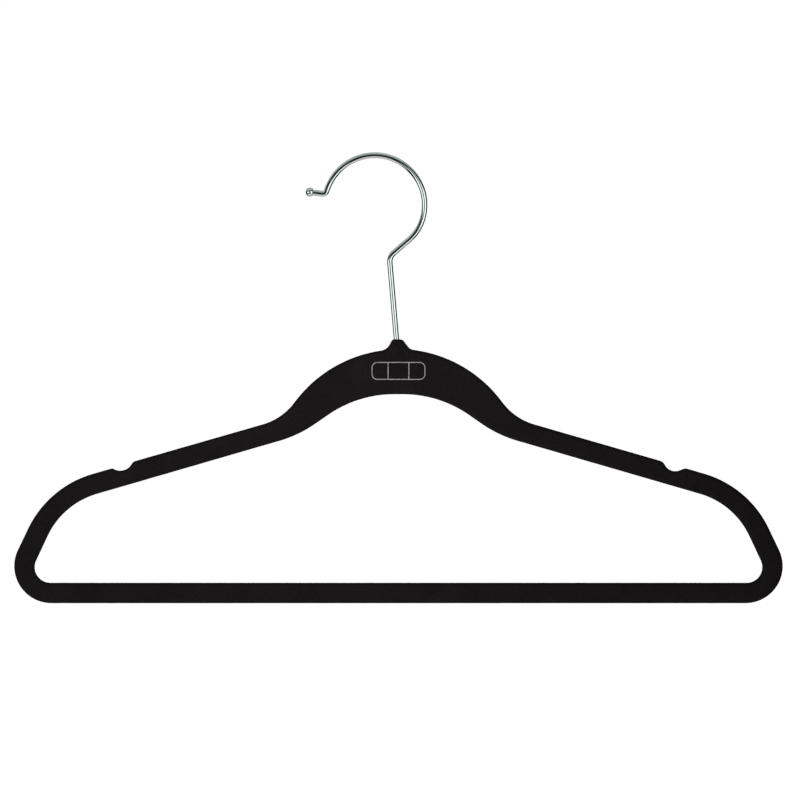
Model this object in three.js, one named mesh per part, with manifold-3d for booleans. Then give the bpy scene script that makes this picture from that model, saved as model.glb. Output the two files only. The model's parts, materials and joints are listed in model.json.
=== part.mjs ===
// Slimline flocked clothes hanger for children's clothes: one closed moulded loop with sloping
// arms, strap notches and a straight trouser bar, hung from a chromed wire hook that swivels in
// its neck.
//
// Millimetres. X runs along the hanger, +Y points to its back and +Z up. The origin is the seat
// of the hook: the point inside its top that rests on the rail.

import * as THREE from 'three';
import { mergeVertices } from 'three/addons/utils/BufferGeometryUtils.js';
import Module from 'manifold-3d';

const wasm = await Module();
wasm.setup();

const rad = THREE.MathUtils.degToRad;

// ---- Driving dimensions ------------------------------------------------------------------

// Hook. Its centre line lies in the XZ plane.
const WIRE_R = 1.35;
const RING_R = 23.1; // of the centre line, so a rail of up to 40 mm fits inside
const RING_FROM = rad(-10);
const RING_TO = rad(160);
const HEEL_R = 20.4; // the ring tightens a little before it runs into the slanted neck
const HEEL_FROM = rad(-49.4);
const NECK_BEND_R = 5.5; // between the slanted neck and the stem
const TIP_BEND_R = 2.1; // the end of the wire turns outwards
const TIP_RISE = rad(7.7);

// Ball pushed onto the end of the wire.
const BALL_R = 2.13;
const BALL_X = -29.9;
const BALL_Z = -15.7;
const BALL_HOLE_R = 1.5;
const BALL_HOLE_FLOOR = 0.2; // from the ball's middle
const WIRE_END = 0.4; // from the ball's middle

// Stem. It leans, and it is also the swivel's axis.
const STEM_LEAN = rad(4.93);
const MOUTH_X = 10.1; // where the stem's axis leaves the top of the neck
const MOUTH_Z = -84.1;
const STEM_DEPTH = 9.2; // below the mouth
const BORE_R = 1.45;
const BORE_DEPTH = 9.6;
const MOUTH_R = 1.5; // hole in the flock

// Collar crimped on the stem, which keeps the hook in the neck.
const COLLAR_R = 1.9;
const COLLAR_BORE_R = 1.45;
const COLLAR_TOP = 5.0; // below the mouth
const COLLAR_LENGTH = 2.6;
const CHAMBER_R = 2.2;
const CHAMBER_PLAY = 0.3; // above and below the collar
const CUT_PAST = 2.0; // how far a cutter runs beyond the mouth

// Frame, in its own centre line's place, right of the hook's ring.
const FRAME_X = 11.0;
const THICKNESS = 5.0;
const EDGE_R = 0.9;
const SKIN = 0.6; // flock and the adhesive under it
const GLUE_GAP = 0.15;
const CORE_EDGE_R = 0.35;

// Outline corners from the top down: x, z and the radius that rounds the corner. The small
// boss round the stem is a little left of centre, and the strap notches differ a little. The
// rest is the same on both sides.
const BOSS_LEFT = [
  [-2.9, -83.9, 1.3],
  [-5.4, -88.6, 5.5],
];
const BOSS_RIGHT = [
  [1.9, -83.9, 1.3],
  [5.4, -88.4, 3.7],
];
const NECK_CORNERS = [
  [32.3, -92.7, 60.1], // arch over the neck
  [54.1, -120.6, 27.7], // foot of the arch
];
// Strap notches: inner lip, floor, outer lip.
const NOTCH_LEFT = [
  [-122.6, -140.3, 2.1],
  [-126.7, -146.4, 6.2],
  [-132.4, -143.4, 1.7],
];
const NOTCH_RIGHT = [
  [122.3, -140.3, 3.7],
  [125.7, -146.3, 5.5],
  [132.5, -143.3, 3.4],
];
const SHOULDER_CORNERS = [
  [162.0, -151.9, 48.0], // end of the shoulder
  [187.7, -205.8, 17.2], // lower corner
];
const OPENING_CORNERS = [
  [18.7, -109.2, 53.7], // under the neck
  [46.2, -128.2, 56.4],
  [155.3, -159.9, 36.3], // inside the end of the shoulder
  [172.4, -196.4, 7.2], // end of the trouser bar
];

// Swelling of the neck round the stem: depth below the mouth and radius.
const SWELL = [
  [0.4, 2.1],
  [1.4, 2.8],
  [3.8, 3.5],
  [7.4, 3.5],
  [9.2, 2.8],
  [10.6, 2.0],
];

// Printed ornament on the front of the neck: a plain rounded frame with two upright bars.
const PRINT_Z = -98.4;
const PRINT_LINE = 0.38;
const PRINT_HALF = [12.4, 4.1]; // half width and half height
const PRINT_CORNER = 2.6;
const PRINT_BAR = 4.8; // each bar's distance from the middle
const PANE_CORNER = 0.4;
const PRINT_DEPTH = 0.2;
const PRINT_GAP = 0.1;

// Facets.
const WIRE_STEPS = 150; // along the whole wire
const WIRE_HALF_SIDES = 6; // round half of it
const BALL_STEPS = 5; // from the hole's rim to the far end
const STEM_SIDES = 24; // bore, chamber, mouth and swelling
const SMALL_SIDES = 20; // ball and collar
const CORNER_STEPS = 4; // at each rounded corner of the frame
const PRINT_STEPS = 8; // at each rounded corner of the print

// ---- Helpers -----------------------------------------------------------------------------

// Turns a closed geometry into a solid that can be joined and cut.
function solidOf(geometry) {
  geometry.deleteAttribute('normal');
  geometry.deleteAttribute('uv');
  const merged = mergeVertices(geometry);
  const triangles = [];
  const index = merged.index.array;
  for (let i = 0; i < index.length; i += 3) {
    const [a, b, c] = index.subarray(i, i + 3);
    if (a !== b && b !== c && c !== a) triangles.push(a, b, c);
  }
  const mesh = new wasm.Mesh({
    numProp: 3,
    vertProperties: merged.attributes.position.array,
    triVerts: new Uint32Array(triangles),
  });
  return new wasm.Manifold(mesh);
}

function geometryOf(solid) {
  const { vertProperties, triVerts } = solid.getMesh();
  const geometry = new THREE.BufferGeometry();
  geometry.setAttribute('position', new THREE.BufferAttribute(vertProperties, 3));
  geometry.setIndex(new THREE.BufferAttribute(triVerts, 1));
  geometry.computeVertexNormals();
  return geometry;
}

// Continues a path to a corner and rounds it on an arc of radius r.
function roundCorner(path, before, corner, after, r) {
  const back = before.clone().sub(corner).normalize();
  const ahead = after.clone().sub(corner).normalize();
  const half = back.angleTo(ahead) / 2;
  const reach = r / Math.tan(half);
  const centre = back.clone().add(ahead).setLength(r / Math.sin(half)).add(corner);
  const start = back.clone().multiplyScalar(reach).add(corner).sub(centre);
  const end = ahead.clone().multiplyScalar(reach).add(corner).sub(centre);
  path.absarc(centre.x, centre.y, r, start.angle(), end.angle(), back.cross(ahead) > 0);
}

function mirrored(corners) {
  return corners.map(([x, z, r]) => [-x, z, r]);
}

function closedOutline(corners, path) {
  const points = corners.map(([x, z]) => new THREE.Vector2(x, z));
  corners.forEach(([, , r], i) => {
    roundCorner(path, points.at(i - 1), points[i], points[(i + 1) % points.length], r);
  });
  path.closePath();
  return path;
}

// Stands a geometry made about the Y axis on the stem's axis, its y counted up from the mouth.
function ontoStem(geometry, frameX) {
  return geometry
    .rotateX(Math.PI / 2)
    .rotateY(-STEM_LEAN)
    .translate(MOUTH_X - frameX, 0, MOUTH_Z);
}

function stemCylinder(r, top, bottom, frameX) {
  const cylinder = new THREE.CylinderGeometry(r, r, top - bottom, STEM_SIDES);
  return solidOf(ontoStem(cylinder.translate(0, (top + bottom) / 2, 0), frameX));
}

// ---- Hook --------------------------------------------------------------------------------

const polar = (r, angle) => new THREE.Vector2(r * Math.cos(angle), r * Math.sin(angle));

function crossing(p, alongP, q, alongQ) {
  const t = q.clone().sub(p).cross(alongQ) / alongP.cross(alongQ);
  return p.clone().addScaledVector(alongP, t);
}

// Centre line of the wire, from the foot of the stem to its far end inside the ball.
function hookPath() {
  const up = new THREE.Vector2(-Math.sin(STEM_LEAN), Math.cos(STEM_LEAN));
  const mouth = new THREE.Vector2(MOUTH_X, MOUTH_Z);
  const foot = mouth.clone().addScaledVector(up, -STEM_DEPTH);

  const ring = new THREE.Vector2(0, WIRE_R - RING_R);
  const heel = polar(RING_R - HEEL_R, RING_FROM).add(ring);
  const heelStart = polar(HEEL_R, HEEL_FROM).add(heel);
  const slant = polar(1, HEEL_FROM + Math.PI / 2);
  const neckCorner = crossing(foot, up, heelStart, slant);

  const ringEnd = polar(RING_R, RING_TO).add(ring);
  const fall = polar(1, RING_TO + Math.PI / 2);
  const outwards = polar(1, Math.PI - TIP_RISE);
  const ball = new THREE.Vector2(BALL_X, BALL_Z);
  const tipCorner = crossing(ringEnd, fall, ball, outwards);
  const wireEnd = ball.clone().addScaledVector(outwards, -WIRE_END);

  const path = new THREE.Path();
  path.moveTo(foot.x, foot.y);
  path.lineTo(mouth.x, mouth.y);
  roundCorner(path, foot, neckCorner, heelStart, NECK_BEND_R);
  path.absarc(heel.x, heel.y, HEEL_R, HEEL_FROM, RING_FROM, false);
  path.absarc(ring.x, ring.y, RING_R, RING_FROM, RING_TO, false);
  roundCorner(path, ringEnd, tipCorner, ball, TIP_BEND_R);
  path.lineTo(wireEnd.x, wireEnd.y);
  return path;
}

class UprightCurve extends THREE.Curve {
  constructor(path) {
    super();
    this.path = path;
  }

  getPoint(t, target = new THREE.Vector3()) {
    const { x, y } = this.path.getPoint(t);
    return target.set(x, 0, y);
  }
}

function hookWire() {
  const section = new THREE.Shape().absarc(0, 0, WIRE_R, 0, 2 * Math.PI);
  return new THREE.ExtrudeGeometry(section, {
    extrudePath: new UprightCurve(hookPath()),
    steps: WIRE_STEPS,
    curveSegments: WIRE_HALF_SIDES,
  });
}

// The ball about its own Z axis, with its hole facing down.
function hookBall() {
  const rim = Math.acos(BALL_HOLE_R / BALL_R);
  const round = new THREE.Path().absarc(0, 0, BALL_R, -rim, Math.PI / 2, false);
  const profile = [
    new THREE.Vector2(0, -BALL_HOLE_FLOOR),
    new THREE.Vector2(BALL_HOLE_R, -BALL_HOLE_FLOOR),
    ...round.getPoints(BALL_STEPS),
  ];
  return new THREE.LatheGeometry(profile, SMALL_SIDES).rotateX(Math.PI / 2);
}

function retainingCollar() {
  const top = -COLLAR_TOP;
  const bottom = top - COLLAR_LENGTH;
  const profile = [
    [COLLAR_BORE_R, bottom],
    [COLLAR_R, bottom],
    [COLLAR_R, top],
    [COLLAR_BORE_R, top],
    [COLLAR_BORE_R, bottom],
  ].map(([r, y]) => new THREE.Vector2(r, y));
  return ontoStem(new THREE.LatheGeometry(profile, SMALL_SIDES), 0);
}

// ---- Frame -------------------------------------------------------------------------------

// The loop as a plate with rounded edges, drawn in from the outer surface by inset.
function loopPlate(inset, edge, edgeSteps) {
  const outer = [
    ...BOSS_LEFT,
    ...mirrored(NECK_CORNERS),
    ...NOTCH_LEFT,
    ...mirrored(SHOULDER_CORNERS),
    ...SHOULDER_CORNERS.toReversed(),
    ...NOTCH_RIGHT.toReversed(),
    ...NECK_CORNERS.toReversed(),
    ...BOSS_RIGHT.toReversed(),
  ];
  const shape = closedOutline(outer, new THREE.Shape());
  const opening = [...mirrored(OPENING_CORNERS), ...OPENING_CORNERS.toReversed()];
  shape.holes.push(closedOutline(opening, new THREE.Path()));

  const depth = THICKNESS - 2 * (inset + edge);
  const geometry = new THREE.ExtrudeGeometry(shape, {
    depth,
    curveSegments: CORNER_STEPS,
    bevelThickness: edge,
    bevelSize: edge,
    bevelOffset: -inset - edge,
    bevelSegments: edgeSteps,
  });
  return solidOf(geometry.translate(0, 0, -depth / 2).rotateX(Math.PI / 2));
}

function neckSwell(inset) {
  const curve = new THREE.SplineCurve(
    SWELL.map(([depth, r]) => new THREE.Vector2(r - inset, -depth)).reverse()
  );
  const profile = curve.getPoints(10);
  profile.unshift(new THREE.Vector2(0, profile[0].y));
  profile.push(new THREE.Vector2(0, profile.at(-1).y));
  return solidOf(ontoStem(new THREE.LatheGeometry(profile, STEM_SIDES), FRAME_X));
}

function velvetFlock() {
  const outside = loopPlate(0, EDGE_R, 2).add(neckSwell(0));
  const inside = loopPlate(SKIN, CORE_EDGE_R, 1).add(neckSwell(SKIN));
  const mouth = stemCylinder(MOUTH_R, CUT_PAST, -CUT_PAST, FRAME_X);
  return geometryOf(outside.subtract(inside).subtract(mouth));
}

function frameCore() {
  const inset = SKIN + GLUE_GAP;
  const chamberTop = CHAMBER_PLAY - COLLAR_TOP;
  const chamberBottom = -COLLAR_TOP - COLLAR_LENGTH - CHAMBER_PLAY;
  return geometryOf(
    loopPlate(inset, CORE_EDGE_R, 1)
      .add(neckSwell(inset))
      .subtract(stemCylinder(BORE_R, CUT_PAST, -BORE_DEPTH, FRAME_X))
      .subtract(stemCylinder(CHAMBER_R, chamberTop, chamberBottom, FRAME_X))
  );
}

// ---- Printed ornament --------------------------------------------------------------------

// Points of a rectangle from x0 to x1 whose left and right corners are rounded.
function panel(x0, x1, halfHeight, leftR, rightR) {
  const corners = [
    [x1 - rightR, halfHeight - rightR, rightR],
    [x0 + leftR, halfHeight - leftR, leftR],
    [x0 + leftR, leftR - halfHeight, leftR],
    [x1 - rightR, rightR - halfHeight, rightR],
  ];
  const points = [];
  corners.forEach(([x, y, r], quarter) => {
    for (let k = 0; k <= PRINT_STEPS; k++) {
      const angle = (quarter + k / PRINT_STEPS) * (Math.PI / 2);
      points.push(new THREE.Vector2(x + r * Math.cos(angle), y + r * Math.sin(angle)));
    }
  });
  return points;
}

function printedOrnament() {
  const [a, b] = PRINT_HALF;
  const side = a - PRINT_LINE;
  const height = b - PRINT_LINE;
  const corner = PRINT_CORNER - PRINT_LINE;
  const outerPane = PRINT_BAR + PRINT_LINE / 2;
  const middlePane = PRINT_BAR - PRINT_LINE / 2;
  const shape = new THREE.Shape(panel(-a, a, b, PRINT_CORNER, PRINT_CORNER));
  shape.holes.push(
    new THREE.Path(panel(-side, -outerPane, height, corner, PANE_CORNER)),
    new THREE.Path(panel(-middlePane, middlePane, height, PANE_CORNER, PANE_CORNER)),
    new THREE.Path(panel(outerPane, side, height, PANE_CORNER, corner))
  );
  const options = { depth: PRINT_DEPTH, bevelEnabled: false };
  return new THREE.ExtrudeGeometry(shape, options).rotateX(Math.PI / 2);
}

// ---- Assembly ----------------------------------------------------------------------------

const velvet = new THREE.MeshStandardMaterial({ color: 0x1a1819, roughness: 1 });
const plastic = new THREE.MeshStandardMaterial({ color: 0x141414, roughness: 0.6 });
const chrome = new THREE.MeshStandardMaterial({ color: 0xdadcdd, roughness: 0.1, metalness: 1 });
const steel = new THREE.MeshStandardMaterial({ color: 0x9a9c9e, roughness: 0.4, metalness: 1 });
const ink = new THREE.MeshStandardMaterial({ color: 0xa5a5a5, roughness: 0.6 });

function piece(name, geometry, material) {
  const mesh = new THREE.Mesh(geometry, material.clone());
  mesh.name = name;
  return mesh;
}

const ball = piece('hook_ball', hookBall(), chrome);
ball.position.set(BALL_X, 0, BALL_Z);
ball.rotation.y = TIP_RISE - Math.PI / 2;

const hook = new THREE.Group();
hook.add(
  piece('hook_wire', hookWire(), chrome),
  ball,
  piece('retaining_collar', retainingCollar(), steel)
);

const print = piece('printed_ornament', printedOrnament(), ink);
print.position.set(0, -THICKNESS / 2 - PRINT_GAP, PRINT_Z);

const frame = new THREE.Group();
frame.position.x = FRAME_X;
frame.add(
  piece('frame_core', frameCore(), plastic),
  piece('velvet_flock', velvetFlock(), velvet),
  print
);

const hanger = new THREE.Group();
hanger.add(hook, frame);

export default hanger;
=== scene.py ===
import json
import math

import bmesh
import bpy
import numpy as np
from mathutils import Matrix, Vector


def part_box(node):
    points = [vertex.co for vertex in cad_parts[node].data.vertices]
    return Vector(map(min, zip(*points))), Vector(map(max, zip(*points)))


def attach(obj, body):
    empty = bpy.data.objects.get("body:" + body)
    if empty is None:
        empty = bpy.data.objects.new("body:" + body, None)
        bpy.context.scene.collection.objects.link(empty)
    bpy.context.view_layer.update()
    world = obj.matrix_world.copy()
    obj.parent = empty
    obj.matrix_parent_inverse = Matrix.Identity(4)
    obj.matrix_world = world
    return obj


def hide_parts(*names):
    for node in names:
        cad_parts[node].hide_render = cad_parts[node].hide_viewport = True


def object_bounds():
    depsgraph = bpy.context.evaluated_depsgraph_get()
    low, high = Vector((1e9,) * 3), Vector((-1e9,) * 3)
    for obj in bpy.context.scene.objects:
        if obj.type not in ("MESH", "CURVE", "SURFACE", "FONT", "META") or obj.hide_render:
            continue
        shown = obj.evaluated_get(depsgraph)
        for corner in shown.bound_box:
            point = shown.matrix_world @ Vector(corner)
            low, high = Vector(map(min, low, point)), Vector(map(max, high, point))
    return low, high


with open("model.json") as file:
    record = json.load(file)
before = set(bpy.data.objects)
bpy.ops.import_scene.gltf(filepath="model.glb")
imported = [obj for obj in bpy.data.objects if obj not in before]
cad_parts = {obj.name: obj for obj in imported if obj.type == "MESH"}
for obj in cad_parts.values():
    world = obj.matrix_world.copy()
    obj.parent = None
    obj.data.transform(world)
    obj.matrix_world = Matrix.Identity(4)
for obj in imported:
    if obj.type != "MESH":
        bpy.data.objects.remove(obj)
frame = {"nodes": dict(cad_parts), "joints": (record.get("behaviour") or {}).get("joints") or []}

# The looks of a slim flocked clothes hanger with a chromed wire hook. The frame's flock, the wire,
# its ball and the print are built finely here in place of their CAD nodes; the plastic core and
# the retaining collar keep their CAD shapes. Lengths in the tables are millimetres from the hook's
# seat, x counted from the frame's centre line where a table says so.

MM = 0.001
cad_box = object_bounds()

# ---- Driving dimensions ----------------------------------------------------------------------

# Frame outline from the top down: x from the frame's centre line, z, and the corner's radius.
BOSS_LEFT = [(-2.9, -83.9, 1.3), (-5.4, -88.6, 5.5)]
BOSS_RIGHT = [(1.9, -83.9, 1.3), (5.4, -88.4, 3.7)]
NECK = [(32.3, -92.7, 60.1), (54.1, -120.6, 27.7)]
NOTCH_LEFT = [(-122.6, -140.3, 2.1), (-126.7, -146.4, 6.2), (-132.4, -143.4, 1.7)]
NOTCH_RIGHT = [(122.3, -140.3, 3.7), (125.7, -146.3, 5.5), (132.5, -143.3, 3.4)]
SHOULDER = [(162.0, -151.9, 48.0), (187.7, -205.8, 17.2)]
OPENING = [
    (18.7, -109.2, 53.7),
    (46.2, -128.2, 56.4),
    (155.3, -159.9, 36.3),
    (172.4, -196.4, 7.2),
]
HALF_THICKNESS = 2.5
EDGE_R = 1.9  # the pile rolls round the edges wider than the moulding under it
TIGHT_R = 2.5  # outer corners tighter than this make the rolled edge tighter too
SKIN = 0.6
INNER_EDGE_R = 0.5
SWELL = [  # swelling of the neck round the stem: depth below the mouth and radius
    (-0.05, 0.0),
    (0.1, 1.5),
    (0.4, 2.1),
    (1.4, 2.8),
    (3.8, 3.5),
    (7.4, 3.5),
    (9.2, 2.8),
    (10.6, 2.0),
    (12.5, 0.0),
]
MOUTH_R = 1.5
LIP_R = 2.4  # the flock stands up a little round the mouth
LIP_WIDTH = 0.9
LIP_RISE = 0.15
LIP_DEPTH = 1.5
BLEND = 0.45  # width of the smooth join between the swelling and the flat
UNEVEN = [(3, 7.0, 0.016), (4, 2.2, 0.008)]  # seed, wavelength and height of the pile's waves

# Hook, from its seat: radii of the wire's centre line, and directions anticlockwise from +X.
RING_R = 23.1
RING_FROM = math.radians(-10)
RING_TO = math.radians(160)
HEEL_R = 20.4
HEEL_FROM = math.radians(-49.4)
NECK_BEND_R = 5.5
TIP_BEND_R = 2.1
TIP_RISE = math.radians(7.7)
STEM_DEPTH = 9.2
BALL = (-29.9, -15.7)  # x and z of its middle
BALL_R = 2.13
BALL_HOLE_R = 1.5
BALL_HOLE_FLOOR = 0.2
BALL_HOLE_LIP = 0.12
WIRE_END = 0.4  # from the ball's middle to the wire's cut end
END_BEVEL = 0.15
END_FACET_R = 0.25  # of the small facet in the middle of a cut end

# Print on the neck.
PRINT_LINE = 0.38
PRINT_HALF = (12.4, 4.1)  # half its width and height
PRINT_CORNER = 2.6
PRINT_BAR = 4.8  # from the middle to each upright bar
PANE_CORNER = 0.4
PRINT_RISE = 0.07
PRINT_SOFT = 0.06  # radius of its soft edges
PRINT_STEP = 0.5  # greatest spacing of points along its outlines

# ---- What the frame says -----------------------------------------------------------------------

def mm_box(node):
    return [np.array(corner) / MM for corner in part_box(node)]


flock_lo, flock_hi = mm_box("velvet_flock")
print_lo, print_hi = mm_box("printed_ornament")

WIRE_R = mm_box("hook_wire")[1][1]
FRAME_X = (flock_lo[0] + flock_hi[0]) / 2
PRINT_CENTRE = (print_lo + print_hi) / 2
swivel = frame["joints"][0]
MOUTH = np.array(swivel["pos_m"])[[0, 2]] / MM
STEM_UP = np.array(swivel["axis"])[[0, 2]]
STEM_UP = STEM_UP / np.linalg.norm(STEM_UP)


# ---- Plane paths -------------------------------------------------------------------------------

def polar(r, angle):
    return r * np.array([math.cos(angle), math.sin(angle)])


def cross(a, b):
    return a[0] * b[1] - a[1] * b[0]


def crossing(p, along_p, q, along_q):
    return p + along_p * (cross(q - p, along_q) / cross(along_p, along_q))


class Path:
    """Straights and arcs in the XZ plane, with the length, place and heading at each point."""

    ARC_STEP = 0.012  # radians between the points of an arc
    SAMPLES = 20000  # lengths tried for the nearest one
    SHORTEST = 1e-9
    TURN_LENGTH = 1e-6  # share of a straight over which its heading sets in

    def __init__(self, start):
        self.points = [np.array(start, float)]
        self.headings = []
        self.corners = []  # length at each corner's start, middle and end

    def length(self):
        steps = np.diff(np.array(self.points), axis=0)
        return float(np.hypot(*steps.T).sum()) if len(steps) else 0.0

    def _add(self, point, heading):
        if not self.headings:
            self.headings.append(heading)
        self.points.append(point)
        self.headings.append(heading)

    def line(self, to):
        ahead = to - self.points[-1]
        if np.hypot(*ahead) > self.SHORTEST:
            heading = math.atan2(ahead[1], ahead[0])
            self._add(self.points[-1] + ahead * self.TURN_LENGTH, heading)
            self._add(to, heading)

    def arc(self, centre, r, start, end):
        self.line(centre + polar(r, start))
        begun = self.length()
        turn = math.copysign(math.pi / 2, end - start)
        count = max(3, math.ceil(abs(end - start) / self.ARC_STEP))
        for angle in np.linspace(start, end, count):
            self._add(centre + polar(r, angle), angle + turn)
        done = self.length()
        self.corners.append((begun, (begun + done) / 2, done))

    def corner(self, before, at, after, r):
        """An arc of radius r that rounds the corner at a point, seen from before to after."""
        back = (before - at) / np.hypot(*(before - at))
        ahead = (after - at) / np.hypot(*(after - at))
        half = math.acos(np.clip(back @ ahead, -1, 1)) / 2
        middle = back + ahead
        centre = at + middle / np.hypot(*middle) * (r / math.sin(half))
        start = at + back * (r / math.tan(half)) - centre
        end = at + ahead * (r / math.tan(half)) - centre
        start_angle = math.atan2(start[1], start[0])
        turn = math.atan2(cross(start, end), start @ end)
        self.arc(centre, r, start_angle, start_angle + turn)

    def finish(self):
        """Measures the path, which then takes no more lines or arcs."""
        self.points = np.array(self.points)
        steps = np.hypot(*np.diff(self.points, axis=0).T)
        self.s = np.concatenate([[0], np.cumsum(steps)])
        self.total = self.s[-1]
        self.headings = np.unwrap(self.headings)
        return self

    def at(self, s):
        """Points and headings at lengths s."""
        x, z = (np.interp(s, self.s, self.points[:, k]) for k in (0, 1))
        return np.stack([x, z], -1), np.interp(s, self.s, self.headings)

    def nearest(self, point):
        """The length at which the path comes nearest to a point."""
        tried = np.linspace(0, self.total, self.SAMPLES)
        return float(tried[np.argmin(np.hypot(*(self.at(tried)[0] - point).T))])


def mirrored(corners):
    return [(-x, z, r) for x, z, r in corners]


def closed_outline(corners):
    """A rounded outline that starts and ends in the middle of its top edge."""
    points = [np.array([x + FRAME_X, z]) for x, z, _ in corners]
    start = (points[-1] + points[0]) / 2
    path = Path(start)
    for i, (_, _, r) in enumerate(corners):
        path.corner(points[i - 1], points[i], points[(i + 1) % len(points)], r)
    path.line(start)
    return path.finish()


# ---- Meshes ------------------------------------------------------------------------------------

def placed(name, data):
    """A new object of the data, in the scene."""
    obj = bpy.data.objects.new(name, data)
    bpy.context.scene.collection.objects.link(obj)
    return obj


def smooth_object(name, verts, faces):
    mesh = bpy.data.meshes.new(name)
    mesh.from_pydata([tuple(v) for v in np.asarray(verts) * MM], [], faces)
    mesh.validate()
    mesh.polygons.foreach_set("use_smooth", [True] * len(mesh.polygons))
    mesh.update()
    return placed(name, mesh)


def settled_mesh(obj):
    """An object's mesh with its modifiers or its curve's depth applied."""
    shown = obj.evaluated_get(bpy.context.evaluated_depsgraph_get())
    return bpy.data.meshes.new_from_object(shown)


def turn_outwards(obj, join=0.0):
    """Turns a mesh's faces outwards, after joining points nearer than join."""
    work = bmesh.new()
    work.from_mesh(obj.data)
    if join:
        bmesh.ops.remove_doubles(work, verts=work.verts, dist=join * MM)
    bmesh.ops.recalc_face_normals(work, faces=work.faces)
    work.to_mesh(obj.data)
    work.free()


def ring_faces(stations, section, closed):
    """Quads joining each section of a swept surface to the next one."""
    faces = []
    for i in range(stations if closed else stations - 1):
        a = i * section
        b = ((i + 1) % stations) * section
        for j in range(section):
            k = (j + 1) % section
            faces.append((a + j, b + j, b + k, a + k))
    return faces


def capped_faces(stations, section):
    """The faces of a swept surface with a cap on each end."""
    last = (stations - 1) * section
    caps = [tuple(range(section)), tuple(range(last + section - 1, last - 1, -1))]
    return ring_faces(stations, section, False) + caps


def unevenness(points, seed, wavelength, amplitude):
    """Smooth seeded noise at points, from -amplitude to amplitude."""
    waves = 18
    rng = np.random.default_rng(seed)
    ways = rng.normal(size=(waves, 3))
    ways /= np.linalg.norm(ways, axis=1)[:, None]
    numbers = 2 * math.pi / (wavelength * rng.uniform(0.6, 1.7, waves))
    phases = rng.uniform(0, 2 * math.pi, waves)
    total = np.cos(points @ (ways * numbers[:, None]).T + phases).sum(1)
    return np.clip(total / math.sqrt(waves / 2), -2, 2) / 2 * amplitude


# ---- Flock on the frame ------------------------------------------------------------------------

LEFT = [*BOSS_LEFT, *mirrored(NECK), *NOTCH_LEFT, *mirrored(SHOULDER)]
RIGHT = [*BOSS_RIGHT, *NECK, *NOTCH_RIGHT, *SHOULDER]
CORNERS = [*LEFT, *RIGHT[::-1]]
outer = closed_outline(CORNERS)
opening = closed_outline([*mirrored(OPENING), *OPENING[::-1]])

# Corners of the outer outline, counted anticlockwise seen from the front: those that lie over a
# corner of the opening (the rest lie over whatever is nearest), those that need closer sections,
# and the radii of the tight ones.
FACING = {2: 0, 3: 1, 7: 2, 8: 3, 9: 4, 10: 5, 14: 6, 15: 7}
DETAILED = (0, 1, 4, 5, 6, 11, 12, 13, 16, 17)
TIGHT = {i: r for i, (_, _, r) in enumerate(CORNERS) if r < TIGHT_R}


def matching():
    """Lengths along the outer outline and the lengths along the opening that face them."""
    pairs = [(0.0, 0.0)]
    for i, (_, middle, _) in enumerate(outer.corners):
        if i in FACING:
            pairs.append((middle, opening.corners[FACING[i]][1]))
        else:
            pairs.append((middle, opening.nearest(outer.at(middle)[0])))
    pairs.append((outer.total, opening.total))
    bottom = (outer.total / 2, opening.total / 2)
    return sorted([*pairs, bottom])


def count_along(grid, spacing):
    """How many steps of the given spacing lie before each length of a grid."""
    return np.concatenate([[0], np.cumsum(np.diff(grid) / spacing[:-1])])


def station_lengths(coarse, fine):
    """Lengths along the outer outline, closer together at the boss and the strap notches."""
    fine_reach = 3.0
    fade = 8.0
    grid = np.linspace(0, outer.total, 8000)
    spots = [0.0, outer.total, *(outer.corners[i][1] for i in DETAILED)]
    away = np.min([np.abs(grid - s) for s in spots], axis=0)
    spacing = fine + (coarse - fine) * np.clip((away - fine_reach) / fade, 0, 1)
    count = count_along(grid, spacing)
    n = int(round(count[-1]))
    return np.interp(np.arange(n) * count[-1] / n, count, grid)


def edge_radii(lengths, radius):
    """The rolled edge's radius along the outline, less where a convex corner is tighter."""
    share_of_corner = 0.75
    growth = 0.35
    radii = np.full(len(lengths), radius)
    for i, r in TIGHT.items():
        start, _, end = outer.corners[i]
        beyond = np.maximum(np.maximum(start - lengths, lengths - end), 0)
        radii = np.minimum(radii, share_of_corner * r + growth * beyond)
    return radii


def stem_place(points):
    """Depth below the mouth along the stem, and distance from its axis within the XZ plane."""
    from_mouth = points[:, [0, 2]] - MOUTH
    return -from_mouth @ STEM_UP, cross(from_mouth.T, STEM_UP)


def swell_height(points, inset):
    """How far the neck's swelling reaches from the middle plane, negative outside it."""
    beyond = -9
    depth, aside = stem_place(points)
    depths, radii = np.array(SWELL).T
    r = np.interp(depth, depths, radii - inset, left=beyond, right=beyond)
    inside = np.maximum(r * r - aside * aside, 0)
    return np.where(np.abs(aside) < r, np.sqrt(inside), np.minimum(r, 0) - np.abs(aside))


def smooth_max(a, b, width):
    """The greater of a and b, with a smooth join where they are nearer than width."""
    h = np.clip(0.5 + 0.5 * (a - b) / width, 0, 1)
    return b + (a - b) * h + width * h * (1 - h)


def edge_rows(at, into, inset, radii, wall_steps, arc_steps):
    """Rows of places from the middle plane to the top of one rolled edge, with their heights."""
    half = HALF_THICKNESS - inset
    rows = []
    for k in range(wall_steps):
        rows.append((at + into * inset, (half - radii) * k / wall_steps))
    for k in range(arc_steps + 1):
        turn = math.pi / 2 * k / arc_steps
        deep = inset + radii * (1 - math.cos(turn))
        rows.append((at + into * deep[:, None], half - radii + radii * math.sin(turn)))
    return rows


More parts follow.
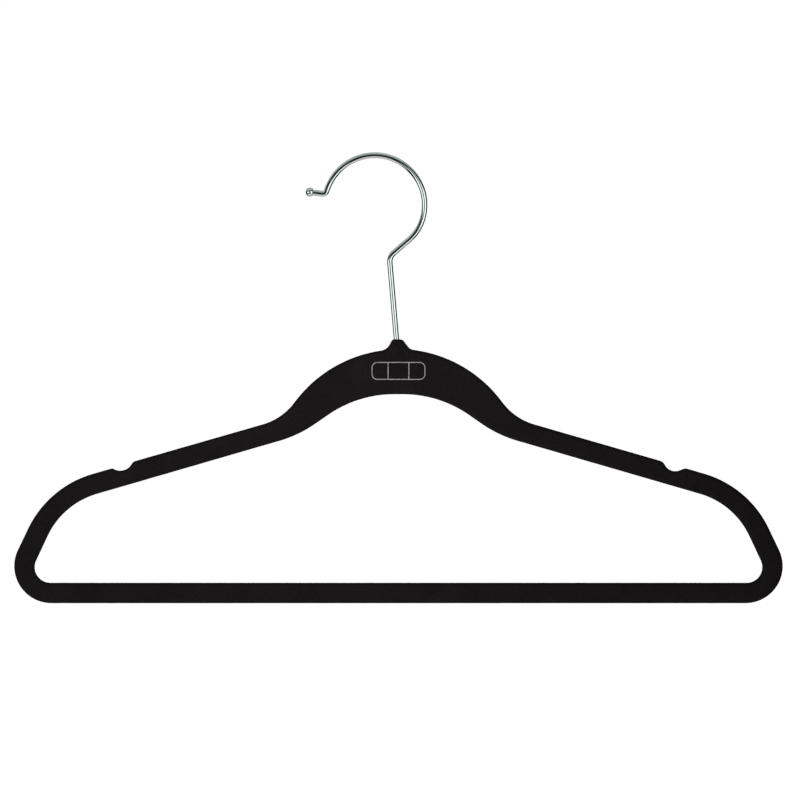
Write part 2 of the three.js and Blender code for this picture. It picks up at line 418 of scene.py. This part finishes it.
def loop_surface(lengths, inset, edge_r, wall_steps, arc_steps, face_steps):
    """Points of the loop's closed surface, section by section, and the points in a section.
    Its steps are counted up each wall, round each edge and across the face."""
    crowd_width = 14
    wall_fade = 0.3

    at_outer, heading = outer.at(lengths)
    into_outer = np.stack([-np.sin(heading), np.cos(heading)], -1)
    pairs = np.array(matching())
    facing = np.interp(lengths, pairs[:, 0], pairs[:, 1])
    at_opening, heading = opening.at(facing)
    into_opening = np.stack([np.sin(heading), -np.cos(heading)], -1)

    even_radii = np.full(len(lengths), edge_r)
    radii = edge_radii(lengths, edge_r) if inset == 0 else even_radii
    near = edge_rows(at_outer, into_outer, inset, radii, wall_steps, arc_steps)
    far = edge_rows(at_opening, into_opening, inset, even_radii, wall_steps, arc_steps)

    # Rows across the face at the boss crowd towards its outer edge.
    from_stem = np.clip(abs(at_outer[:, 0] - MOUTH[0]) / crowd_width, 0, 1)
    crowd = 1.5 - 0.5 * from_stem
    face = []
    for k in range(1, face_steps):
        share = ((k / face_steps) ** crowd)[:, None]
        face.append((near[-1][0] * (1 - share) + far[-1][0] * share, near[-1][1]))
    front = [*near, *face, *reversed(far)]
    section = [(p, -y) for p, y in front] + [(p, y) for p, y in front[-2:0:-1]]
    rows = [np.stack([p[:, 0], y, p[:, 1]], -1) for p, y in section]
    points = np.stack(rows, axis=1).reshape(-1, 3)

    height = np.abs(points[:, 1])
    swollen = smooth_max(height, swell_height(points, inset), BLEND)
    off_plane = np.clip(height / wall_fade, 0, 1)
    points[:, 1] = np.where(points[:, 1] < 0, -1, 1) * (height + (swollen - height) * off_plane)
    return points, len(section)


def turned_out(verts, faces):
    """The quads with their fronts outwards."""
    a, b, c, d = (verts[np.array(faces)[:, k]] for k in range(4))
    volume = (np.cross(c - a, d - b) * (a + b + c + d)).sum()
    return faces if volume > 0 else [face[::-1] for face in faces]


def surface_normals(grid):
    """The outward normal at each point of a closed swept surface, section by section."""
    along = np.roll(grid, -1, 0) - np.roll(grid, 1, 0)
    around = np.roll(grid, -1, 1) - np.roll(grid, 1, 1)
    normals = np.cross(along, around).reshape(-1, 3)
    normals /= np.linalg.norm(normals, axis=1)[:, None]
    backmost = np.argmax(grid.reshape(-1, 3)[:, 1])
    return -normals if normals[backmost][1] < 0 else normals


def pile_surface():
    """Points and faces of the flock's uneven outside."""
    lengths = station_lengths(coarse=1.3, fine=0.34)
    points, section = loop_surface(
        lengths, 0, EDGE_R, wall_steps=2, arc_steps=8, face_steps=24
    )
    depth, aside = stem_place(points)
    off_axis = np.hypot(aside, points[:, 1])
    lip = np.clip((LIP_R - off_axis) / LIP_WIDTH, 0, 1) * (depth < LIP_DEPTH)
    points[:, [0, 2]] += STEM_UP * (LIP_RISE * lip**2)[:, None]
    faces = turned_out(points, ring_faces(len(lengths), section, True))
    normals = surface_normals(points.reshape(len(lengths), section, 3))
    uneven = sum(unevenness(points, *wave) for wave in UNEVEN)
    return points + normals * uneven[:, None], faces


def velvet_piece():
    """A skin round the core, with a hole in the boss for the stem."""
    outside, faces = pile_surface()
    lengths = station_lengths(coarse=3.6, fine=1.0)
    inside, section = loop_surface(
        lengths, SKIN, INNER_EDGE_R, wall_steps=1, arc_steps=3, face_steps=10
    )
    cavity = turned_out(inside, ring_faces(len(lengths), section, True))
    cavity = [tuple(v + len(outside) for v in face[::-1]) for face in cavity]
    velvet = smooth_object("velvet", np.concatenate([outside, inside]), faces + cavity)

    reach = 3 * STEM_UP
    cutter = tube("cutter", MOUTH_R, MOUTH - reach, MOUTH + reach)
    cut = velvet.modifiers.new("mouth", "BOOLEAN")
    cut.operation = "DIFFERENCE"
    cut.solver = "EXACT"
    cut.object = cutter
    mesh = settled_mesh(velvet)
    velvet.modifiers.clear()
    velvet.data = mesh
    mesh.name = velvet.name
    bpy.data.objects.remove(cutter)
    return velvet


def tube(name, r, start, end, sides=40):
    """A closed plain cylinder between two points of the XZ plane."""
    along = (end - start) / np.hypot(*(end - start))
    side = np.array([-along[1], along[0]])
    verts = []
    for p in (start, end):
        for k in range(sides):
            turn = 2 * math.pi * k / sides
            x, z = p + side * r * math.cos(turn)
            verts.append((x, r * math.sin(turn), z))
    obj = smooth_object(name, verts, capped_faces(2, sides))
    turn_outwards(obj)
    return obj


# ---- Hook --------------------------------------------------------------------------------------

def hook_path():
    """The wire's centre line, from the stem's foot to the end in the ball."""
    ball = np.array(BALL)
    foot = MOUTH - STEM_DEPTH * STEM_UP
    ring = np.array([0, WIRE_R - RING_R])
    heel = ring + polar(RING_R - HEEL_R, RING_FROM)
    heel_start = heel + polar(HEEL_R, HEEL_FROM)
    neck = crossing(foot, STEM_UP, heel_start, polar(1, HEEL_FROM + math.pi / 2))

    ring_end = ring + polar(RING_R, RING_TO)
    outwards = polar(1, math.pi - TIP_RISE)
    tip = crossing(ring_end, polar(1, RING_TO + math.pi / 2), ball, outwards)

    path = Path(foot)
    path.corner(foot, neck, heel_start, NECK_BEND_R)
    path.arc(heel, HEEL_R, HEEL_FROM, RING_FROM)
    path.arc(ring, RING_R, RING_FROM, RING_TO)
    path.corner(ring_end, tip, ball, TIP_BEND_R)
    path.line(ball - WIRE_END * outwards)
    return path.finish()


def swept(places, headings, sides):
    """Points of round sections, of the radii that places gives, along a line in the XZ plane."""
    turns = 2 * math.pi * np.arange(sides) / sides
    rows = []
    for (x, z, r), heading in zip(places, headings):
        aside = np.array([-math.sin(heading), math.cos(heading)])
        in_plane = r * np.cos(turns)
        section = [x + aside[0] * in_plane, r * np.sin(turns), z + aside[1] * in_plane]
        rows.append(np.stack(section, -1))
    return np.concatenate(rows)


def wire_sections(path):
    """Lengths and radii of the wire's sections, closer together in its bends. The cut ends are
    slightly broken, each with a small middle facet."""
    longest_bend = 12
    margin = 0.5
    fine = 0.16
    coarse = 0.4
    grid = np.linspace(0, path.total, 6000)
    bent = np.zeros(len(grid), bool)
    for start, _, end in path.corners:
        if end - start < longest_bend:
            bent |= (grid > start - margin) & (grid < end + margin)
    count = count_along(grid, np.where(bent, fine, coarse))
    lengths = np.interp(np.linspace(0, count[-1], int(count[-1])), count, grid)
    lengths = np.concatenate([[0, 0, 0], lengths[lengths > 2 * END_BEVEL], [path.total] * 2])
    lengths = lengths[lengths <= path.total]
    radii = np.full(len(lengths), WIRE_R)
    lengths[2] = END_BEVEL
    radii[:2] = END_FACET_R, WIRE_R - END_BEVEL
    radii[-2:] = WIRE_R - END_BEVEL, END_FACET_R
    lengths[-3] = path.total - END_BEVEL
    return lengths, radii


def map_lengthwise(obj, lengths, sides):
    """Gives swept wire UVs: u once round it and v its length in metres."""
    layer = obj.data.uv_layers.new(name="drawn").data
    for polygon in obj.data.polygons:
        wraps = len({v % sides for v in polygon.vertices} & {0, sides - 1}) == 2
        for loop in polygon.loop_indices:
            station, side = divmod(obj.data.loops[loop].vertex_index, sides)
            u = side / sides
            layer[loop].uv = (u + 1 if wraps and u == 0 else u, lengths[station] * MM)


def hook_piece():
    """The bent wire."""
    sides = 48
    path = hook_path()
    lengths, radii = wire_sections(path)
    at, headings = path.at(lengths)
    verts = swept(np.column_stack([at, radii]), headings, sides)
    hook = smooth_object("hook", verts, capped_faces(len(lengths), sides))
    turn_outwards(hook)
    map_lengthwise(hook, lengths, sides)
    return hook


def ball_piece():
    """The ball about its own Z axis with its hole down, then laid along the end of the wire."""
    sides = 56
    pole_r = 0.001
    lip = BALL_HOLE_LIP
    lip_r = BALL_HOLE_R + lip
    lip_z = -math.sqrt((BALL_R - lip) ** 2 - lip_r**2)
    seam = math.atan2(lip_z, lip_r)
    # From the middle of the hole's floor, out over the lip and round to the top.
    profile = [(r, -BALL_HOLE_FLOOR) for r in (pole_r, 0.7, BALL_HOLE_R)]
    profile += [(BALL_HOLE_R, z) for z in np.linspace(-0.5, lip_z, 5)[:-1]]
    for angle in np.linspace(-math.pi, seam, 9):
        profile.append((lip_r + lip * math.cos(angle), lip_z + lip * math.sin(angle)))
    for angle in np.linspace(seam, math.pi / 2, 36)[1:]:
        profile.append((max(BALL_R * math.cos(angle), pole_r), BALL_R * math.sin(angle)))
    verts = [
        (r * math.cos(turn), r * math.sin(turn), z)
        for r, z in profile
        for turn in 2 * math.pi * np.arange(sides) / sides
    ]
    ball = smooth_object("ball", verts, capped_faces(len(profile), sides))
    turn_outwards(ball, join=0.003)
    turn = Matrix.Rotation(TIP_RISE - math.pi / 2, 4, "Y")
    place = Matrix.Translation((BALL[0] * MM, 0, BALL[1] * MM))
    ball.data.transform(place @ turn)
    return ball


# ---- Print -------------------------------------------------------------------------------------

def panel(x0, x1, half_height, left_r, right_r):
    """A rectangle from x0 to x1 whose left and right corners are rounded."""
    corners = [
        (x1 - right_r, half_height - right_r, right_r),
        (x0 + left_r, half_height - left_r, left_r),
        (x0 + left_r, left_r - half_height, left_r),
        (x1 - right_r, right_r - half_height, right_r),
    ]
    places = []
    for quarter, (x, z, r) in enumerate(corners):
        for angle in np.linspace(quarter, quarter + 1, 9) * math.pi / 2:
            places.append((x + r * math.cos(angle), z + r * math.sin(angle)))
    return places


def spaced(outline, step):
    """Points along a closed outline no further apart than step."""
    places = []
    for (x, z), (to_x, to_z) in zip(outline, [*outline[1:], outline[0]]):
        count = math.ceil(math.hypot(to_x - x, to_z - z) / step)
        for k in range(count):
            places.append((x + (to_x - x) * k / count, z + (to_z - z) * k / count))
    return places


def print_outlines():
    """The outer frame and the three panes in it, about the print's middle."""
    a, b = PRINT_HALF
    side = a - PRINT_LINE
    height = b - PRINT_LINE
    corner = PRINT_CORNER - PRINT_LINE
    outer_pane = PRINT_BAR + PRINT_LINE / 2
    middle_pane = PRINT_BAR - PRINT_LINE / 2
    return [
        panel(-a, a, b, PRINT_CORNER, PRINT_CORNER),
        panel(-side, -outer_pane, height, corner, PANE_CORNER),
        panel(-middle_pane, middle_pane, height, PANE_CORNER, PANE_CORNER),
        panel(outer_pane, side, height, PANE_CORNER, corner),
    ]


def print_piece():
    """A rounded frame with two upright bars, lying on the pile with soft edges."""
    curve = bpy.data.curves.new("ornament", "CURVE")
    curve.dimensions = "2D"
    curve.fill_mode = "BOTH"
    curve.extrude = (PRINT_RISE - PRINT_SOFT) * MM
    curve.bevel_depth = PRINT_SOFT * MM
    curve.bevel_resolution = 2
    curve.offset = -PRINT_SOFT * MM
    for outline in print_outlines():
        places = spaced(outline, PRINT_STEP)
        spline = curve.splines.new("POLY")
        spline.points.add(len(places) - 1)
        for point, (x, z) in zip(spline.points, places):
            point.co = (x * MM, z * MM, 0, 1)
        spline.use_cyclic_u = True
    drawn = placed("drawn", curve)
    drawn.matrix_world = Matrix.Translation(
        (PRINT_CENTRE[0] * MM, -HALF_THICKNESS * MM, PRINT_CENTRE[2] * MM)
    ) @ Matrix.Rotation(math.pi / 2, 4, "X")
    bpy.context.view_layer.update()
    mesh = settled_mesh(drawn)
    mesh.transform(drawn.matrix_world)
    bpy.data.objects.remove(drawn)

    # The print rises with the neck's swelling.
    flat = np.array([v.co for v in mesh.vertices]) / MM
    on_pile = np.column_stack([flat[:, 0], np.full(len(flat), -HALF_THICKNESS), flat[:, 2]])
    lift = smooth_max(HALF_THICKNESS, swell_height(on_pile, 0), BLEND) - HALF_THICKNESS
    for vertex, rise in zip(mesh.vertices, lift):
        vertex.co.y -= max(rise, 0) * MM
    mesh.name = "ornament"
    return placed("ornament", mesh)


# ---- Materials ---------------------------------------------------------------------------------

class Nodes:
    """A node tree with short ways to add and join nodes."""

    def __init__(self, tree):
        self.tree = tree
        tree.nodes.clear()

    def add(self, kind, inputs=None, **settings):
        node = self.tree.nodes.new(kind)
        for name, value in settings.items():
            setattr(node, name, value)
        for key, value in (inputs or {}).items():
            self.set(node.inputs[key], value)
        return node

    def set(self, socket, value):
        """Joins a socket to the value if that is another socket, or else gives it the value."""
        if isinstance(value, bpy.types.NodeSocket):
            self.tree.links.new(value, socket)
        else:
            socket.default_value = value

    def math(self, operation, *values):
        node = self.add("ShaderNodeMath", dict(enumerate(values)), operation=operation)
        return node.outputs[0]

    def smooth(self, value, low, high, to_low=0.0, to_high=1.0):
        """Goes smoothly from to_low to to_high as the value goes from low to high."""
        inputs = {"Value": value, "From Min": low, "From Max": high}
        inputs |= {"To Min": to_low, "To Max": to_high}
        node = self.add("ShaderNodeMapRange", inputs, interpolation_type="SMOOTHSTEP")
        return node.outputs["Result"]

    def ramp(self, value, stops):
        """Grey levels or colours at places from 0 to 1."""
        node = self.add("ShaderNodeValToRGB", {"Fac": value})
        elements = node.color_ramp.elements
        while len(elements) < len(stops):
            elements.new(0.5)
        for element, (place, colour) in zip(elements, stops):
            element.position = place
            level = (colour,) * 3 if isinstance(colour, (int, float)) else colour
            element.color = (*level, 1)
        return node.outputs["Color"]

    def noise(self, vector, scale, detail, roughness):
        inputs = {"Vector": vector, "Scale": scale, "Detail": detail, "Roughness": roughness}
        return self.add("ShaderNodeTexNoise", inputs).outputs["Fac"]

    def blend(self, share, a, b, how="MIX"):
        """Mixes two colours, each a socket or three numbers."""
        inputs = {0: share}
        for key, colour in ((6, a), (7, b)):
            inputs[key] = (*colour, 1) if isinstance(colour, tuple) else colour
        node = self.add("ShaderNodeMix", inputs, data_type="RGBA", blend_type=how)
        return node.outputs[2]

    def bump(self, height, distance, strength, normal=None):
        inputs = {"Height": height, "Distance": distance, "Strength": strength}
        if normal is not None:
            inputs["Normal"] = normal
        return self.add("ShaderNodeBump", inputs).outputs["Normal"]


def material(name, make):
    """A material whose shader's inputs make sets, from the texture coordinates."""
    made = bpy.data.materials.new(name)
    made.use_nodes = True
    nodes = Nodes(made.node_tree)
    shader = nodes.add("ShaderNodeBsdfPrincipled")
    output = nodes.add("ShaderNodeOutputMaterial")
    nodes.set(output.inputs["Surface"], shader.outputs["BSDF"])
    place = nodes.add("ShaderNodeTexCoord")
    make(nodes, shader.inputs, place.outputs)
    return made


def flock(nodes, shader, place):
    """Short black pile: tufts of fibre about 0.15 mm wide, with painted shade between them, and a
    slow mottling of the colour that is partly the pile's own tone and partly painted sheen of the
    nap.
    """
    where = place["Object"]
    tufts = nodes.add(
        "ShaderNodeTexVoronoi", {"Vector": where, "Scale": 6500.0}, feature="F1"
    ).outputs["Distance"]
    fibres = nodes.noise(where, 11000.0, 2.0, 0.7)
    grain = nodes.noise(where, 1900.0, 4.0, 0.65)
    # Slow mottling of the pile's colour: partly random tone of the pile, partly painted sheen
    # where the nap lies in different directions.
    nap_tone_and_sheen = nodes.noise(where, 85.0, 3.0, 0.5)
    light = nodes.math("MULTIPLY_ADD", grain, 0.75, nodes.math("MULTIPLY", nap_tone_and_sheen, 0.25))
    pile = nodes.ramp(
        light,
        [
            (0.30, (0.0108, 0.0090, 0.0095)),
            (0.50, (0.0165, 0.0138, 0.0143)),
            (0.72, (0.0258, 0.0224, 0.0232)),
        ],
    )
    # Painted shade: the colour is made darker in the gaps between the tufts and fibres and lighter
    # on their tops, after the pile's own relief, which also bumps the normal below.
    height = nodes.math("MULTIPLY_ADD", fibres, 0.7, nodes.smooth(tufts, 0.1, 0.75, 0.3, 0.0))
    shade = nodes.ramp(height, [(0.25, 0.45), (0.75, 1.5)])
    nodes.set(shader["Base Color"], nodes.blend(1.0, pile, shade, "MULTIPLY"))
    nodes.set(shader["Roughness"], nodes.smooth(grain, 0.3, 0.7, 0.86, 1.0))
    nodes.set(shader["Specular IOR Level"], 0.03)
    nodes.set(shader["Sheen Weight"], 0.008)
    nodes.set(shader["Sheen Roughness"], 0.5)
    nodes.set(shader["Sheen Tint"], (0.55, 0.50, 0.53, 1))
    coarse = nodes.bump(grain, 0.00012, 0.5)
    tufted = nodes.bump(tufts, 0.00005, 0.5, coarse)
    nodes.set(shader["Normal"], nodes.bump(fibres, 0.00004, 0.6, tufted))


def plate(nodes, shader, where, haze_scale, speck_scale, dark, haze_levels):
    """Bright plate with patches of haze and hazier specks; gives back the specks."""
    haze = nodes.noise(where, haze_scale, 4.0, 0.6)
    specks = nodes.noise(where, speck_scale, 2.0, 0.7)
    colour = nodes.ramp(haze, [(0.3, dark), (0.7, (0.84, 0.885, 0.875))])
    nodes.set(shader["Base Color"], colour)
    nodes.set(shader["Metallic"], 1.0)
    haze_level = nodes.smooth(haze, 0.35, 0.75, *haze_levels)
    speck_level = nodes.smooth(specks, 0.66, 0.80, 0.0, 0.12)
    nodes.set(shader["Roughness"], nodes.math("ADD", haze_level, speck_level))
    return specks


def chrome(nodes, shader, place):
    """Bright plate over drawn wire: faint lengthwise draw lines, haze and specks."""
    stretched = nodes.add(
        "ShaderNodeMapping", {"Vector": place["UV"], "Scale": (60.0, 25.0, 1.0)}
    ).outputs[0]
    lines = nodes.noise(stretched, 1.0, 2.0, 0.6)
    dark = (0.775, 0.83, 0.82)
    specks = plate(nodes, shader, place["Object"], 260.0, 4200.0, dark, (0.045, 0.10))
    drawn = nodes.bump(lines, 0.000004, 0.5)
    nodes.set(shader["Normal"], nodes.bump(specks, 0.0000012, 0.4, drawn))


def ball_chrome(nodes, shader, place):
    """The same plate on a turned ball, a little hazier and without draw lines."""
    dark = (0.77, 0.82, 0.81)
    specks = plate(nodes, shader, place["Object"], 420.0, 4600.0, dark, (0.05, 0.12))
    nodes.set(shader["Normal"], nodes.bump(specks, 0.0000015, 0.4))


def ink(nodes, shader, place):
    """Light grey transfer ink, thin over the fibre tips and cracked between them."""
    where = place["Object"]
    pile = nodes.noise(where, 2600.0, 3.0, 0.7)
    patches = nodes.noise(where, 420.0, 3.0, 0.6)
    worn = nodes.math("MULTIPLY_ADD", pile, 0.6, nodes.math("MULTIPLY", patches, 0.4))
    colour = nodes.ramp(
        worn,
        [
            (0.34, (0.12, 0.117, 0.117)),
            (0.42, (0.40, 0.395, 0.395)),
            (0.60, (0.56, 0.555, 0.555)),
        ],
    )
    nodes.set(shader["Base Color"], colour)
    nodes.set(shader["Roughness"], nodes.smooth(patches, 0.3, 0.7, 0.55, 0.75))
    nodes.set(shader["Specular IOR Level"], 0.3)
    nodes.set(shader["Normal"], nodes.bump(pile, 0.00005, 0.7))


def moulded_plastic(nodes, shader, place):
    """Black ABS with a spark-eroded grain and faint flow marks."""
    where = place["Object"]
    grain = nodes.noise(where, 3000.0, 3.0, 0.6)
    flow = nodes.noise(where, 60.0, 3.0, 0.5)
    nodes.set(
        shader["Base Color"],
        nodes.ramp(flow, [(0.3, (0.0085, 0.0085, 0.0090)), (0.7, (0.0130, 0.0130, 0.0135))]),
    )
    nodes.set(shader["Roughness"], nodes.smooth(grain, 0.3, 0.7, 0.38, 0.58))
    nodes.set(shader["Normal"], nodes.bump(grain, 0.00002, 0.5))


def turned_steel(nodes, shader, place):
    """Bare steel collar with fine turning marks round the stem."""
    where = place["Object"]
    grooves = nodes.add(
        "ShaderNodeMapping", {"Vector": where, "Scale": (400.0, 400.0, 9000.0)}
    ).outputs[0]
    lines = nodes.noise(grooves, 1.0, 2.0, 0.6)
    stains = nodes.noise(where, 900.0, 3.0, 0.6)
    nodes.set(
        shader["Base Color"],
        nodes.ramp(stains, [(0.3, (0.42, 0.42, 0.43)), (0.7, (0.56, 0.565, 0.575))]),
    )
    nodes.set(shader["Metallic"], 1.0)
    nodes.set(shader["Roughness"], nodes.smooth(lines, 0.3, 0.7, 0.26, 0.42))
    nodes.set(shader["Normal"], nodes.bump(lines, 0.000006, 0.5))


def paint(obj, made):
    obj.data.materials.clear()
    obj.data.materials.append(made)


# ---- Pieces ------------------------------------------------------------------------------------

velvet = velvet_piece()
hook = hook_piece()
ball = ball_piece()
ornament = print_piece()

for piece, node, body, slot, made in (
    (velvet, "velvet_flock", "frame", "velvet", material("flock", flock)),
    (ornament, "printed_ornament", "frame", "print", material("ink", ink)),
    (hook, "hook_wire", "hook", "chrome_wire", material("chrome", chrome)),
    (ball, "hook_ball", "hook", "chrome_wire", material("ball_chrome", ball_chrome)),
):
    paint(piece, made)
    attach(piece, body)
    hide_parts(node)

paint(frame["nodes"]["frame_core"], material("moulded_plastic", moulded_plastic))
paint(frame["nodes"]["retaining_collar"], material("turned_steel", turned_steel))

# ---- Floor, light and camera -------------------------------------------------------------------

# Metres.
FLOOR_Z = -1.6  # a wardrobe rail's height below the hook
FLOOR_R = 9.0
LAMP_WIDTH = 0.2
LAMP_PLACE = (0.05, 0.25, -0.10)
LAMP_POWER = 0.25  # watts
CAMERA_DISTANCE = 1.6
CAMERA_ASIDE = 0.0007  # from the hanger's middle
CAMERA_LOWER = 0.0103
SENSOR_WIDTH = 36  # millimetres
VIEW_SHARE = 1.0415  # the view's width over the hanger's


def floor_look(nodes, shader, place):
    """A pale plain floor that shines a little, so that it meets the white ground softly."""
    mottle = nodes.noise(place["Object"], 3.0, 3.0, 0.5)
    nodes.set(shader["Base Color"], nodes.ramp(mottle, [(0.3, 0.84), (0.7, 0.88)]))
    nodes.set(shader["Roughness"], 0.9)
    nodes.set(shader["Emission Color"], (1, 1, 1, 1))
    from_middle = nodes.add(
        "ShaderNodeVectorMath", {0: place["Object"]}, operation="LENGTH"
    ).outputs["Value"]
    nodes.set(shader["Emission Strength"], nodes.smooth(from_middle, 2.0, FLOOR_R, 0.75, 0.9))


work = bmesh.new()
bmesh.ops.create_circle(work, cap_ends=True, segments=96, radius=FLOOR_R)
floor_mesh = bpy.data.meshes.new("floor")
work.to_mesh(floor_mesh)
work.free()
floor = placed("floor", floor_mesh)
floor.location = (0, 0, FLOOR_Z)
paint(floor, material("floor", floor_look))
floor.visible_glossy = False
floor.visible_diffuse = False


# Grey levels of the studio's ceiling and table by the angle away from the camera's side, as a
# share of a half turn.
CEILING_LEVELS = [
    (0.11, 0.13),
    (0.25, 0.25),
    (0.32, 0.46),
    (0.44, 0.53),
    (0.53, 0.51),
    (0.64, 0.43),
    (0.80, 0.25),
    (0.94, 0.16),
]
TABLE_LEVELS = [
    (0.17, 0.61),
    (0.28, 0.61),
    (0.44, 0.73),
    (0.55, 0.65),
    (0.66, 0.49),
    (0.83, 0.43),
]
DARK_LEVEL = 0.01
WHITE_LEVEL = 1.02


def studio(tree):
    """What the metal mirrors: a dark room with a white sheet behind the hanger, a white table
    below, a large softbox on each side and a dim ceiling. Everything else gets an even light,
    a little stronger from below, the front and the left. Directions are degrees: azimuth from
    the camera's side towards +X, elevation above the horizon, and spread away from the camera's
    side."""
    nodes = Nodes(tree)
    direction = nodes.add("ShaderNodeTexCoord").outputs["Generated"]
    axes = nodes.add("ShaderNodeSeparateXYZ", {0: direction}).outputs
    front = nodes.math("MULTIPLY", axes["Y"], -1.0)

    def degrees(angle):
        return nodes.math("DEGREES", angle)

    azimuth = degrees(nodes.math("ARCTAN2", axes["X"], front))
    elevation = degrees(nodes.math("ARCSINE", axes["Z"]))
    spread = degrees(nodes.math("ARCCOSINE", front))

    def product(*values):
        total = values[0]
        for value in values[1:]:
            total = nodes.math("MULTIPLY", total, value)
        return total

    def above(value, level, soft):
        return nodes.smooth(nodes.math("SUBTRACT", value, level), -soft, soft)

    def below(value, level, soft):
        return nodes.smooth(nodes.math("SUBTRACT", value, level), -soft, soft, 1.0, 0.0)

    leftwards = nodes.math("MULTIPLY", azimuth, -1.0)
    sideways = nodes.math("ABSOLUTE", azimuth)
    near_right = nodes.smooth(elevation, -11.0, -3.0, 26.9, 10.0)
    near_left = nodes.smooth(elevation, -11.0, -3.0, 17.3, 23.9)
    top_left = nodes.smooth(leftwards, 38.0, 150.0, 11.2, -18.6)

    right_box = product(
        above(azimuth, near_right, 4.0),
        nodes.smooth(azimuth, 56.0, 64.0, 1.0, 0.0),
        nodes.smooth(elevation, -44.7, -36.7),
        nodes.smooth(elevation, 14.4, 20.4, 1.0, 0.0),
    )
    left_box = product(
        above(leftwards, near_left, 4.0),
        nodes.smooth(leftwards, 67.0, 75.0, 1.0, 0.0),
        nodes.smooth(elevation, -28.2, -20.2),
        below(elevation, top_left, 3.0),
    )
    sheet = product(
        nodes.smooth(sideways, 128.0, 142.0),
        nodes.smooth(elevation, -19.0, -5.0),
        nodes.smooth(elevation, 1.0, 15.0, 1.0, 0.0),
    )

    # The ceiling starts at a low sill over the camera and at a height of its own on each side.
    right_share = nodes.smooth(azimuth, -10.0, 10.0)
    edge_right = nodes.smooth(azimuth, 71.0, 144.0, 44.6, 14.8)
    edge_left = nodes.math("ADD", top_left, 22.5)
    edge = nodes.math(
        "ADD",
        product(right_share, edge_right),
        product(nodes.math("SUBTRACT", 1.0, right_share), edge_left),
    )
    aside = nodes.math("MINIMUM", nodes.math("DIVIDE", sideways, 35.0), 1.0)
    front_sill = 13.1
    above_sill = nodes.math("SUBTRACT", edge, front_sill)
    sill = nodes.math("MULTIPLY_ADD", above_sill, aside, front_sill)
    share = nodes.math("DIVIDE", spread, 180.0)
    ceiling = product(nodes.ramp(share, CEILING_LEVELS), above(elevation, sill, 3.0))
    table_edge = nodes.smooth(elevation, -49.5, -39.5, 1.0, 0.0)
    table = product(nodes.ramp(share, TABLE_LEVELS), table_edge)

    level = DARK_LEVEL
    for part, strength in (
        (right_box, 1.25),
        (left_box, 1.25),
        (sheet, 1.15),
        (ceiling, 1.0),
        (table, 1.0),
    ):
        level = nodes.math("MAXIMUM", level, nodes.math("MULTIPLY", part, strength))
    cool = nodes.blend(
        nodes.smooth(elevation, -10.0, 40.0), (1.0, 1.0, 1.0), (0.89, 0.995, 0.985)
    )
    ray = nodes.add("ShaderNodeLightPath").outputs
    even = nodes.math("MULTIPLY_ADD", axes["Z"], -0.30, 0.35)
    even = nodes.math("MULTIPLY_ADD", front, 0.10, even)
    even = nodes.math("MULTIPLY_ADD", axes["X"], -0.13, even)
    level = nodes.blend(ray["Is Glossy Ray"], even, level)
    light = nodes.add("ShaderNodeBackground", {"Color": cool, "Strength": level}).outputs[0]
    white = nodes.add(
        "ShaderNodeBackground", {"Color": (1, 1, 1, 1), "Strength": WHITE_LEVEL}
    ).outputs[0]
    mixed = nodes.add(
        "ShaderNodeMixShader", {0: ray["Is Camera Ray"], 1: light, 2: white}
    ).outputs[0]
    nodes.add("ShaderNodeOutputWorld", {"Surface": mixed})


world = bpy.data.worlds.new("studio")
world.use_nodes = True
studio(world.node_tree)
bpy.context.scene.world = world
bpy.context.scene.view_settings.view_transform = "Standard"

# A soft lamp in front and one behind, off the middle, which the wire doesn't mirror.
for side, name in ((-1, "lamp_front"), (1, "lamp_back")):
    lamp_data = bpy.data.lights.new(name, "AREA")
    lamp_data.shape = "DISK"
    lamp_data.size = LAMP_WIDTH
    lamp_data.energy = LAMP_POWER
    lamp = placed(name, lamp_data)
    lamp.location = (side * LAMP_PLACE[0], side * LAMP_PLACE[1], LAMP_PLACE[2])
    lamp.rotation_euler = (-side * math.pi / 2, 0, 0)
    lamp.visible_camera = False
    lamp.visible_glossy = False

# The hanger fills the frame's width but for a small margin, with more room above it than below.
middle = (cad_box[0] + cad_box[1]) / 2
width = cad_box[1].x - cad_box[0].x
camera_data = bpy.data.cameras.new("camera")
camera_data.sensor_width = SENSOR_WIDTH
camera_data.lens = SENSOR_WIDTH * CAMERA_DISTANCE / (VIEW_SHARE * width)
camera_data.clip_end = 100
camera = placed("camera", camera_data)
camera.location = (middle.x + CAMERA_ASIDE, -CAMERA_DISTANCE, middle.z - CAMERA_LOWER)
camera.rotation_euler = (math.pi / 2, 0, 0)
bpy.context.scene.camera = camera

# ---- Scene update ------------------------------------------------------------------------------

bpy.context.view_layer.update()
